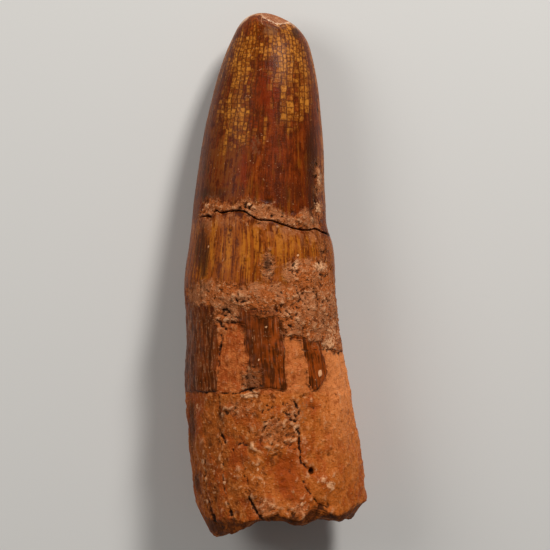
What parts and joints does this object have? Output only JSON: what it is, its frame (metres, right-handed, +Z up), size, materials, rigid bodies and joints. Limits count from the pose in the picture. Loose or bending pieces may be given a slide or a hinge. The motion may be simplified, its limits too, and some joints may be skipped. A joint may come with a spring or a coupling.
{
  "type": "fossil spinosaurus tooth",
  "caption": "Long, nearly straight fossil tooth, crown with a broken root stump, lying on its back on a small flat spot.",
  "frame": {"origin": "centre of the footprint, on the bench that the tooth lies on", "axes": "+Y along the tooth towards its tip, +X across it to the right of the pictured face, +Z up out of the pictured face"},
  "size_m": [0.0365, 0.1047, 0.0273],
  "materials": {
    "fossil_tooth": "polished red-brown fossil enamel, matt sandy crust and orange-brown root"
  },
  "bodies": {
    "root": {"tooth": "fossil_tooth"}
  },
  "joints": []
}
